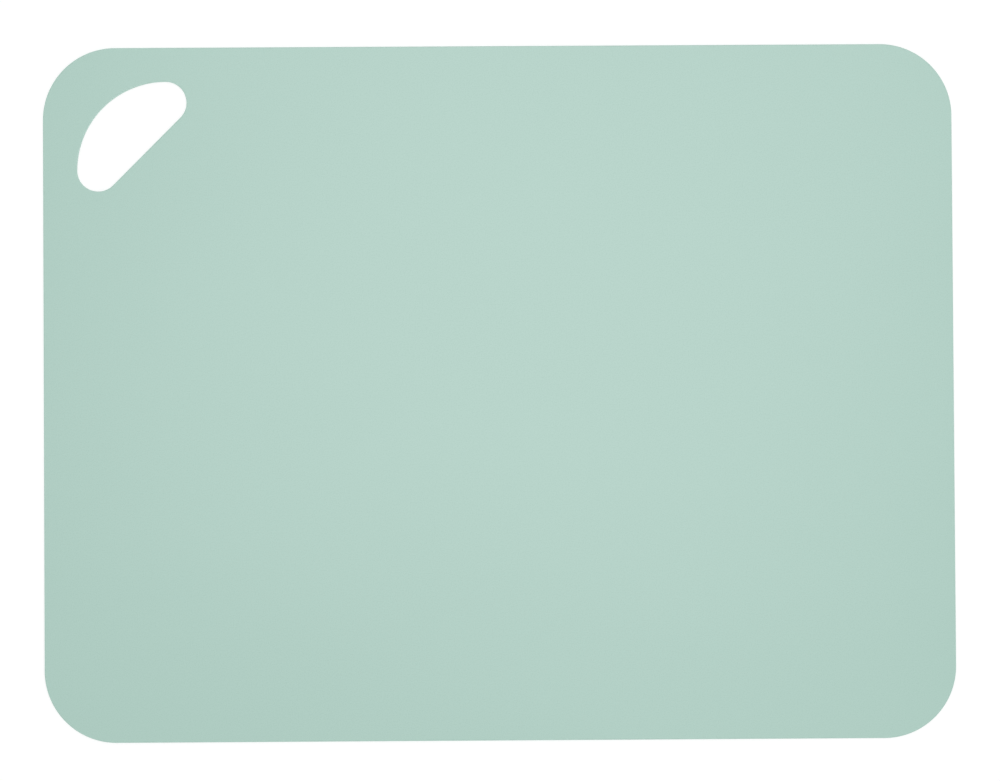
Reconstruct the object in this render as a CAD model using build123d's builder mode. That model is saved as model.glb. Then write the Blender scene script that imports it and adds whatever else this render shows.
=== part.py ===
from build123d import *

import os

# Flexible cutting mat: one thin sheet of plastic, die-cut to a rectangle with round corners,
# with a half-moon hole for the fingers in the corner at the user's upper left.
# Millimetres. The mat lies flat, its length along X and its width along Y, and the corner with
# the hole is at -X, +Y. The origin is the middle of the underside, which rests on Z = 0.

# The sheet
sheet_length = 380.0
sheet_width = 290.0
sheet_thickness = 1.0
corner_radius = 30.0

# Both faces break over a small radius all round, so that no edge is sharp to the hand.
# On a thinner sheet the radius is no more than this share of the thickness.
edge_radius = 0.25
edge_radius_limit_share = 0.4

# The finger hole: a quarter arc that faces the corner, a straight chord across it that faces the
# middle of the mat, and a smaller arc at each end. The margin is the web of sheet that is left
# between the hole and each of the two straight edges beside it.
hole_margin = 14.2
hole_arc_radius = 37.0
hole_end_radius = 8.8

# Angles of the hole's arcs, anticlockwise from +X. The chord slants half way between the edges.
top_angle = 90.0
left_angle = 180.0
chord_angle = 315.0

hole_arc_centre_x = -sheet_length / 2 + hole_margin + hole_arc_radius
hole_arc_centre_y = sheet_width / 2 - hole_margin - hole_arc_radius
end_arc_shift = hole_arc_radius - hole_end_radius
edge_radius_used = min(edge_radius, edge_radius_limit_share * sheet_thickness)

os.makedirs("parts", exist_ok=True)

# Cutting mat
with BuildPart() as cutting_mat:
    with BuildSketch() as sheet_outline:
        RectangleRounded(sheet_length, sheet_width, corner_radius)
    extrude(amount=sheet_thickness)

    with BuildSketch() as finger_hole:
        with BuildLine() as hole_outline:
            # Each end arc touches the quarter arc from inside, where that arc stops
            CenterArc(
                (hole_arc_centre_x, hole_arc_centre_y),
                hole_arc_radius,
                start_angle=top_angle,
                arc_size=left_angle - top_angle,
            )
            lower_end = CenterArc(
                (hole_arc_centre_x - end_arc_shift, hole_arc_centre_y),
                hole_end_radius,
                start_angle=left_angle,
                arc_size=chord_angle - left_angle,
            )
            upper_end = CenterArc(
                (hole_arc_centre_x, hole_arc_centre_y + end_arc_shift),
                hole_end_radius,
                start_angle=top_angle,
                arc_size=left_angle - chord_angle,
            )
            Line(lower_end @ 1, upper_end @ 1)
        make_face()
    extrude(amount=sheet_thickness, mode=Mode.SUBTRACT)

    underside_edges = cutting_mat.edges().group_by(Axis.Z)[0]
    top_edges = cutting_mat.edges().group_by(Axis.Z)[-1]
    fillet(underside_edges + top_edges, radius=edge_radius_used)

cutting_mat.part.label = "cutting_mat"
export_step(cutting_mat.part, "parts/cutting_mat.step")
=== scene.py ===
import math

import bmesh
import bpy
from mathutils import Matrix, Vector


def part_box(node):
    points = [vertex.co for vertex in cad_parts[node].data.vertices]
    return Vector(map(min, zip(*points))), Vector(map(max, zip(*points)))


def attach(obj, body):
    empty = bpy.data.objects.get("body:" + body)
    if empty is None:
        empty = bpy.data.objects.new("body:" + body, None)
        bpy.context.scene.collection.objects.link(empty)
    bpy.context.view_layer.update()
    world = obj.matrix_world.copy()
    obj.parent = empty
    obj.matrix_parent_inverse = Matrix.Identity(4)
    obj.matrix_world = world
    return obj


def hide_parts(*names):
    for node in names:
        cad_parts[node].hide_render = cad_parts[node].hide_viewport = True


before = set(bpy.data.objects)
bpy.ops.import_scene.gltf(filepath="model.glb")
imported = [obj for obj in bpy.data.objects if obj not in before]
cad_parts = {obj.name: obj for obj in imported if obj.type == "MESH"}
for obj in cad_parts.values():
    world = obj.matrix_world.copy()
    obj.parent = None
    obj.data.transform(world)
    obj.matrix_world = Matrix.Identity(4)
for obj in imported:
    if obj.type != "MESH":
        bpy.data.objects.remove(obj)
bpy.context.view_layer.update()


# Cutting mat
# One sheet of polypropylene about a millimetre thick, extruded and rolled matt on both faces.
# A die stamps out its outline and its finger hole in one stroke, and its rims are rounded so
# that they don't scratch the hand.

low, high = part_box("cutting_mat")
mat_length = high.x - low.x
mat_width = high.y - low.y
mat_thickness = high.z - low.z
corner_radius = 0.030
rim_radius = 0.00025

# The finger hole is a right-angled triangle that faces the corner, with its own corners rounded.
# The margin is the web of sheet between the hole and the two edges beside it.
hole_margin = 0.0142
hole_arc_radius = 0.037
hole_end_radius = 0.0088
hole_end_angle = math.radians(45)

# An arc in one of the triangle's two end corners starts this share of its radius from the corner
end_tangent_share = 1 / math.tan(hole_end_angle / 2)

# Steps in each rounded corner of the outlines, cuts in each straight side, steps in each rim
corner_steps = 48
side_cuts = 7
rim_steps = 6

# Points nearer to each other than this are one point
weld_distance = 1e-6

# Faces that meet at an edge within a surface. An edge with fewer is on a border.
faces_at_inner_edge = 2


def add_node(tree, kind, inputs=(), **settings):
    """Adds a node with its settings. Each input takes a value, or the node or the output that feeds
    it, or a list of these."""
    node = tree.nodes.new(kind)
    for setting, value in settings.items():
        setattr(node, setting, value)
    for socket, values in dict(inputs).items():
        for value in values if isinstance(values, list) else [values]:
            if isinstance(value, bpy.types.Node):
                value = value.outputs[0]
            if isinstance(value, bpy.types.NodeSocket):
                tree.links.new(value, node.inputs[socket])
            else:
                node.inputs[socket].default_value = value
    return node


sheet_tree = bpy.data.node_groups.new("die_cut_sheet", "GeometryNodeTree")
sheet_tree.is_modifier = True
sheet_sizes = {
    "Length": ("NodeSocketFloat", mat_length),
    "Width": ("NodeSocketFloat", mat_width),
    "Thickness": ("NodeSocketFloat", mat_thickness),
    "Corner Radius": ("NodeSocketFloat", corner_radius),
    "Rim Radius": ("NodeSocketFloat", rim_radius),
    "Hole Margin": ("NodeSocketFloat", hole_margin),
    "Hole Arc Radius": ("NodeSocketFloat", hole_arc_radius),
    "Hole End Radius": ("NodeSocketFloat", hole_end_radius),
    "Corner Steps": ("NodeSocketInt", corner_steps),
    "Side Cuts": ("NodeSocketInt", side_cuts),
    "Rim Steps": ("NodeSocketInt", rim_steps),
}
sheet_sockets = {
    name: sheet_tree.interface.new_socket(name, in_out="INPUT", socket_type=kind).identifier
    for name, (kind, value) in sheet_sizes.items()
}
plastic_socket = sheet_tree.interface.new_socket(
    "Plastic", in_out="INPUT", socket_type="NodeSocketMaterial"
).identifier
sheet_tree.interface.new_socket("Sheet", in_out="OUTPUT", socket_type="NodeSocketGeometry")
sheet_input = add_node(sheet_tree, "NodeGroupInput").outputs

position = add_node(sheet_tree, "GeometryNodeInputPosition")
point = add_node(sheet_tree, "ShaderNodeSeparateXYZ", {0: position}).outputs
index = add_node(sheet_tree, "GeometryNodeInputIndex")


def rounded(curve, radius, steps):
    """Rounds a curve's corners with arcs, and deletes each point that lies on the one before it."""
    arcs = add_node(
        sheet_tree,
        "GeometryNodeFilletCurve",
        {"Curve": curve, "Radius": radius, "Count": steps, "Limit Radius": False},
        mode="POLY",
    )
    before = add_node(
        sheet_tree, "GeometryNodeOffsetPointInCurve", {"Point Index": index, "Offset": -1}
    ).outputs
    place_before = add_node(
        sheet_tree,
        "GeometryNodeFieldAtIndex",
        {"Value": position, "Index": before["Point Index"]},
        data_type="FLOAT_VECTOR",
    )
    gap = add_node(
        sheet_tree, "ShaderNodeVectorMath", {0: position, 1: place_before}, operation="DISTANCE"
    ).outputs["Value"]
    is_near = add_node(sheet_tree, "ShaderNodeMath", {0: gap, 1: weld_distance}, operation="LESS_THAN")
    is_double = add_node(
        sheet_tree, "ShaderNodeMath", {0: is_near, 1: before["Is Valid Offset"]}, operation="MULTIPLY"
    )
    return add_node(sheet_tree, "GeometryNodeDeleteGeometry", {"Geometry": arcs, "Selection": is_double})


# The outline, turned clockwise so that the sheet lies to the right of it
rectangle = add_node(
    sheet_tree,
    "GeometryNodeCurvePrimitiveQuadrilateral",
    {"Width": sheet_input["Length"], "Height": sheet_input["Width"]},
)
sides = add_node(
    sheet_tree, "GeometryNodeSubdivideCurve", {"Curve": rectangle, "Cuts": sheet_input["Side Cuts"]}
)
round_outline = rounded(sides, sheet_input["Corner Radius"], sheet_input["Corner Steps"])
outline = add_node(sheet_tree, "GeometryNodeReverseCurve", {"Curve": round_outline})

# The hole, anticlockwise, which has the sheet to its right too. Its triangle is made with its long
# side, the chord, along X, so that only the corner of the large arc has a height of its own.
leg = add_node(
    sheet_tree,
    "ShaderNodeMath",
    {0: sheet_input["Hole End Radius"], 1: end_tangent_share, 2: sheet_input["Hole Arc Radius"]},
    operation="MULTIPLY_ADD",
)
chord_depth = add_node(
    sheet_tree, "ShaderNodeMath", {0: leg, 1: math.sin(hole_end_angle)}, operation="MULTIPLY"
)
chord_length = add_node(sheet_tree, "ShaderNodeMath", {0: chord_depth, 1: 2.0}, operation="MULTIPLY")
triangle = add_node(
    sheet_tree,
    "GeometryNodeCurvePrimitiveQuadrilateral",
    {"Width": chord_length, "Bottom Height": 0.0, "Top Height": chord_depth},
    mode="KITE",
)
point_radius = add_node(
    sheet_tree,
    "GeometryNodeSwitch",
    {
        "Switch": point["Y"],
        "False": sheet_input["Hole End Radius"],
        "True": sheet_input["Hole Arc Radius"],
    },
    input_type="FLOAT",
)

# The chord's middle lies half a leg further in than the margin, from both edges
chord_inset = add_node(
    sheet_tree,
    "ShaderNodeMath",
    {0: leg, 1: 0.5, 2: sheet_input["Hole Margin"]},
    operation="MULTIPLY_ADD",
)
half_length = add_node(
    sheet_tree, "ShaderNodeMath", {0: sheet_input["Length"], 1: 0.5}, operation="MULTIPLY"
)
half_width = add_node(
    sheet_tree, "ShaderNodeMath", {0: sheet_input["Width"], 1: 0.5}, operation="MULTIPLY"
)
hole_x = add_node(sheet_tree, "ShaderNodeMath", {0: chord_inset, 1: half_length}, operation="SUBTRACT")
hole_y = add_node(sheet_tree, "ShaderNodeMath", {0: half_width, 1: chord_inset}, operation="SUBTRACT")
hole_place = add_node(sheet_tree, "ShaderNodeCombineXYZ", {"X": hole_x, "Y": hole_y})
hole = add_node(
    sheet_tree,
    "GeometryNodeTransform",
    {
        "Geometry": rounded(triangle, point_radius, sheet_input["Corner Steps"]),
        "Translation": hole_place,
        "Rotation": (0.0, 0.0, hole_end_angle),
    },
)

# The rims' section, an open C as high as the sheet, runs along both cuts. Each of its arms is the
# rounded rim and then a flat lip as wide, which keeps the rim's smooth shading off the face.
arm = add_node(sheet_tree, "ShaderNodeMath", {0: sheet_input["Rim Radius"], 1: 2.0}, operation="MULTIPLY")
c_section = add_node(
    sheet_tree,
    "GeometryNodeCurvePrimitiveQuadrilateral",
    {"Width": arm, "Height": sheet_input["Thickness"]},
)
open_section = add_node(
    sheet_tree, "GeometryNodeSetSplineCyclic", {"Geometry": c_section, "Cyclic": False}
)
half_drop = add_node(
    sheet_tree, "ShaderNodeMath", {0: sheet_input["Thickness"], 1: -0.5}, operation="MULTIPLY"
)
section_place = add_node(
    sheet_tree, "ShaderNodeCombineXYZ", {"X": sheet_input["Rim Radius"], "Y": half_drop}
)
section = add_node(
    sheet_tree,
    "GeometryNodeTransform",
    {
        "Geometry": rounded(open_section, sheet_input["Rim Radius"], sheet_input["Rim Steps"]),
        "Translation": section_place,
    },
)
cuts = add_node(sheet_tree, "GeometryNodeJoinGeometry", {"Geometry": [outline, hole]})
rims = add_node(sheet_tree, "GeometryNodeCurveToMesh", {"Curve": cuts, "Profile Curve": section})

# The two faces fill what lies between the rims
half_thickness = add_node(
    sheet_tree, "ShaderNodeMath", {0: sheet_input["Thickness"], 1: 0.5}, operation="MULTIPLY"
)
is_high = add_node(
    sheet_tree, "ShaderNodeMath", {0: point["Z"], 1: half_thickness}, operation="GREATER_THAN"
)
edge_faces = add_node(sheet_tree, "GeometryNodeInputMeshEdgeNeighbors")
is_border = add_node(
    sheet_tree, "ShaderNodeMath", {0: edge_faces, 1: faces_at_inner_edge}, operation="LESS_THAN"
)
is_top_border = add_node(sheet_tree, "ShaderNodeMath", {0: is_high, 1: is_border}, operation="MULTIPLY")
top_border = add_node(sheet_tree, "GeometryNodeMeshToCurve", {"Mesh": rims, "Selection": is_top_border})
face = add_node(sheet_tree, "GeometryNodeFillCurve", {"Curve": top_border})
top_place = add_node(sheet_tree, "ShaderNodeCombineXYZ", {"Z": sheet_input["Thickness"]})
top = add_node(sheet_tree, "GeometryNodeTransform", {"Geometry": face, "Translation": top_place})
underside = add_node(sheet_tree, "GeometryNodeFlipFaces", {"Mesh": face})
skins = add_node(sheet_tree, "GeometryNodeJoinGeometry", {"Geometry": [rims, top, underside]})
closed = add_node(
    sheet_tree, "GeometryNodeMergeByDistance", {"Geometry": skins, "Distance": weld_distance}
)
smooth = add_node(sheet_tree, "GeometryNodeSetShadeSmooth", {"Geometry": closed})
real = add_node(sheet_tree, "GeometryNodeRealizeInstances", {"Geometry": smooth})
sheet = add_node(
    sheet_tree, "GeometryNodeSetMaterial", {"Geometry": real, "Material": sheet_input["Plastic"]}
)
add_node(sheet_tree, "NodeGroupOutput", {"Sheet": sheet})


def linear(hex_colour):
    """An sRGB colour such as #A0B0C0 as the linear RGBA that the shaders take."""
    shares = [int(hex_colour[place : place + 2], 16) / 255 for place in (1, 3, 5)]
    levels = [
        share / 12.92 if share <= 0.04045 else ((share + 0.055) / 1.055) ** 2.4 for share in shares
    ]
    return (*levels, 1.0)


# Matt polypropylene: coloured through with a milky mint pigment, extruded and pressed between
# grained rolls. The eye gets an even pale colour under a fine grain, which spreads a lamp into a
# broad soft haze. The walls of its cuts are painted a little paler, as painted light for the light
# that passes through the milky plastic at its cut edges.
pigment_colour = "#AACABF"
pigment_thin_colour = "#ADCDC2"
# Painted light: the cut walls' paler colour stands for light passing through the plastic at its edges
cut_wall_painted_glow_colour = "#B8D6CC"
plastic_ior = 1.49

# The real grain is 0.1 to 0.2 mm wide, too fine to show, so it is drawn 0.5 mm wide. Its hollows are
# painted a little darker than its crests, as painted shade for the shade that falls in them, and are a
# little rougher.
grain_size = 0.0005
grain_height = 0.000025
grain_detail = 3.0
painted_hollow_shade_colour = "#A9C9BE"
hollow_roughness = 0.33
crest_roughness = 0.25

# The grain's noise lies about half way between 0 and 1, and mostly within these values
hollow_value = 0.40
crest_value = 0.60

# The sheet lies in very low waves, and its pigment is stirred in a little unevenly. Both are drawn
# out along the mat, which is the way that it ran through the rolls.
wave_size = 0.080
wave_height = 0.0005
wave_detail = 1.0
cloud_size = 0.060
cloud_detail = 3.0
rolled_stretch = 2.0

# A normal's height, from 0 to 1: above the first value it stands on a face, below the second on a
# cut wall, and in between on a rounded rim
face_flatness = 0.95
wall_flatness = 0.40

# Sockets of a Mix node that mixes colours
mix_factor, mix_first, mix_second, mix_result = 0, 6, 7, 2

plastic = bpy.data.materials.new("matt_polypropylene")
plastic.use_nodes = True
plastic_tree = plastic.node_tree
plastic_tree.nodes.clear()

place_on_mat = add_node(plastic_tree, "ShaderNodeTexCoord").outputs["Object"]
drawn_out = add_node(
    plastic_tree, "ShaderNodeMapping", {"Vector": place_on_mat, "Scale": (1 / rolled_stretch, 1.0, 1.0)}
)
clouds = add_node(
    plastic_tree,
    "ShaderNodeTexNoise",
    {"Vector": drawn_out, "Scale": 1 / cloud_size, "Detail": cloud_detail},
)
pigment = add_node(
    plastic_tree,
    "ShaderNodeMix",
    {mix_factor: clouds, mix_first: linear(pigment_colour), mix_second: linear(pigment_thin_colour)},
    data_type="RGBA",
)
grain = add_node(
    plastic_tree,
    "ShaderNodeTexNoise",
    {"Vector": place_on_mat, "Scale": 1 / grain_size, "Detail": grain_detail},
)
in_hollow = add_node(
    plastic_tree,
    "ShaderNodeMapRange",
    {"Value": grain, "From Min": crest_value, "From Max": hollow_value},
)
# The grain's hollows are painted darker: painted shade for the shade that falls in them
pigment_with_hollow_shade = add_node(
    plastic_tree,
    "ShaderNodeMix",
    {
        mix_factor: in_hollow,
        mix_first: pigment.outputs[mix_result],
        mix_second: linear(painted_hollow_shade_colour),
    },
    data_type="RGBA",
)

normal = add_node(plastic_tree, "ShaderNodeNewGeometry").outputs["Normal"]
normal_height = add_node(plastic_tree, "ShaderNodeSeparateXYZ", {0: normal}).outputs["Z"]
flatness = add_node(plastic_tree, "ShaderNodeMath", {0: normal_height}, operation="ABSOLUTE")
on_wall = add_node(
    plastic_tree,
    "ShaderNodeMapRange",
    {"Value": flatness, "From Min": face_flatness, "From Max": wall_flatness},
)
# The cut walls and rims are painted paler: painted light for the light that passes through the plastic at
# its cut edges
colour = add_node(
    plastic_tree,
    "ShaderNodeMix",
    {
        mix_factor: on_wall,
        mix_first: pigment_with_hollow_shade.outputs[mix_result],
        mix_second: linear(cut_wall_painted_glow_colour),
    },
    data_type="RGBA",
)

roughness = add_node(
    plastic_tree,
    "ShaderNodeMapRange",
    {"Value": in_hollow, "To Min": crest_roughness, "To Max": hollow_roughness},
)
waves = add_node(
    plastic_tree,
    "ShaderNodeTexNoise",
    {"Vector": drawn_out, "Scale": 1 / wave_size, "Detail": wave_detail},
)
wavy = add_node(plastic_tree, "ShaderNodeBump", {"Height": waves, "Distance": wave_height})
grained = add_node(
    plastic_tree, "ShaderNodeBump", {"Height": grain, "Distance": grain_height, "Normal": wavy}
)
plastic_surface = add_node(
    plastic_tree,
    "ShaderNodeBsdfPrincipled",
    {
        "Base Color": colour.outputs[mix_result],
        "Roughness": roughness,
        "IOR": plastic_ior,
        "Normal": grained,
    },
)
add_node(plastic_tree, "ShaderNodeOutputMaterial", {"Surface": plastic_surface})

# The tree runs on an empty mesh, and what it makes is kept as a plain one, without the empty
# mesh's own material slot
studio = bpy.context.scene.collection
blank = bpy.data.objects.new("blank", bpy.data.meshes.new("blank"))
studio.objects.link(blank)
die = blank.modifiers.new("die_cut_sheet", "NODES")
die.node_group = sheet_tree
for name, (kind, value) in sheet_sizes.items():
    die[sheet_sockets[name]] = value
die[plastic_socket] = plastic
stamped = blank.evaluated_get(bpy.context.evaluated_depsgraph_get())
mat_sheet = bpy.data.objects.new("mat_sheet", bpy.data.meshes.new_from_object(stamped))
mat_sheet.data.materials.pop(index=0)
studio.objects.link(mat_sheet)
bpy.data.objects.remove(blank)

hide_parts("cutting_mat")
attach(mat_sheet, "root")


# Floor
# A wide sheet of white paper under the mat. Close by it takes the mat's shadow, and further out it
# fades into the white around it, so that it has no horizon.

floor_radius = 4.0
floor_sides = 96
paper_colour = "#FAFAFA"

# The paper lies this far under the mat, so that its face and the mat's don't fall into one
floor_gap = 0.00005

# The paper that is seen near the mat is partly lit and partly glows, and together they make white
# where no shadow falls. Between the two radii it turns to the even white of what lies around it.
glow_share = 0.5
glow_level = 1.14
shadow_radius = 0.26
fade_radius = 0.45
surround_level = 1.0

floor_shape = bmesh.new()
bmesh.ops.create_circle(floor_shape, cap_ends=True, radius=floor_radius, segments=floor_sides)
bmesh.ops.translate(floor_shape, verts=floor_shape.verts, vec=(0.0, 0.0, low.z - floor_gap))
floor_mesh = bpy.data.meshes.new("floor")
floor_shape.to_mesh(floor_mesh)
floor_shape.free()
floor = bpy.data.objects.new("floor", floor_mesh)
studio.objects.link(floor)

paper = bpy.data.materials.new("white_paper")
paper.use_nodes = True
paper_tree = paper.node_tree
paper_tree.nodes.clear()


def in_sight(tree):
    """1 for a ray from the camera, also by a reflection or through a clear thing, and 0 for light."""
    ray = add_node(tree, "ShaderNodeLightPath").outputs
    seen = add_node(
        tree, "ShaderNodeMath", {0: ray["Is Camera Ray"], 1: ray["Is Glossy Ray"]}, operation="MAXIMUM"
    )
    return add_node(tree, "ShaderNodeMath", {0: seen, 1: ray["Is Transmission Ray"]}, operation="MAXIMUM")


place_on_floor = add_node(paper_tree, "ShaderNodeTexCoord").outputs["Object"]
from_middle = add_node(paper_tree, "ShaderNodeVectorMath", {0: place_on_floor}, operation="LENGTH")
faded = add_node(
    paper_tree,
    "ShaderNodeMapRange",
    {"Value": from_middle.outputs["Value"], "From Min": shadow_radius, "From Max": fade_radius},
    interpolation_type="SMOOTHSTEP",
)
lit = add_node(paper_tree, "ShaderNodeBsdfDiffuse", {"Color": linear(paper_colour)})
glow = add_node(paper_tree, "ShaderNodeEmission", {"Strength": glow_level})
surround = add_node(paper_tree, "ShaderNodeEmission", {"Strength": surround_level})
near = add_node(paper_tree, "ShaderNodeMixShader", {0: glow_share, 1: lit, 2: glow})
seen_paper = add_node(paper_tree, "ShaderNodeMixShader", {0: faded, 1: near, 2: surround})
paper_surface = add_node(
    paper_tree, "ShaderNodeMixShader", {0: in_sight(paper_tree), 1: lit, 2: seen_paper}
)
add_node(paper_tree, "ShaderNodeOutputMaterial", {"Surface": paper_surface})
floor_mesh.materials.append(paper)


# Light
# A large softbox hangs above the mat, close to the camera and towards the mat's far edge. A window
# stands lower, behind the mat at its left, and a second softbox at its near right. The white room
# gives the rest. Their levels add up to full white, so that colours look as they are written.

room_colour = "#FFFFFF"
room_level = 0.66
key_level = 0.26
key_size = 0.72
key_place = Vector((0.04, 0.135, 1.25))
window_level = 0.02
window_size = 0.9
window_place = Vector((-0.9, 1.6, 0.9))
side_level = 0.06
side_size = 1.2
side_place = Vector((1.3, -1.1, 1.3))

room = bpy.data.worlds.new("white_room")
room.use_nodes = True
room_tree = room.node_tree
room_tree.nodes.clear()
room_light = add_node(
    room_tree, "ShaderNodeMath", {0: in_sight(room_tree), 1: room_level}, operation="MAXIMUM"
)
room_surface = add_node(
    room_tree, "ShaderNodeBackground", {"Color": linear(room_colour), "Strength": room_light}
)
add_node(room_tree, "ShaderNodeOutputWorld", {"Surface": room_surface})
bpy.context.scene.world = room


def add_softbox(name, place, size, level):
    """Adds a square lamp that faces the mat's middle. Its level is the share of full white that it
    gives by itself to a white sheet there."""
    distance = place.length
    slant = place.z / distance
    lamp = bpy.data.lights.new(name, "AREA")
    lamp.size = size
    # The lamp and the sheet each spread their light over half a sphere, which takes a pi each
    lamp.energy = level * math.pi**2 * distance**2 / slant
    softbox = bpy.data.objects.new(name, lamp)
    softbox.location = place
    softbox.rotation_euler = (-place).to_track_quat("-Z", "Y").to_euler()
    softbox.visible_camera = False
    studio.objects.link(softbox)


add_softbox("key_softbox", key_place, key_size, key_level)
add_softbox("window", window_place, window_size, window_level)
add_softbox("side_softbox", side_place, side_size, side_level)


# Camera
# It looks straight down from above the mat's middle, but for the slight slant of the photograph.
# From this height its long lens frames the mat as the photograph does.

camera_place = (-0.00521, -0.01957, 1.2)
camera_tilt = (math.radians(0.978), math.radians(-0.261), math.radians(-0.336))
camera_lens = 103.39

camera = bpy.data.objects.new("camera", bpy.data.cameras.new("camera"))
camera.data.lens = camera_lens
camera.location = camera_place
camera.rotation_euler = camera_tilt
studio.objects.link(camera)
bpy.context.scene.camera = camera
bpy.context.scene.view_settings.view_transform = "Standard"
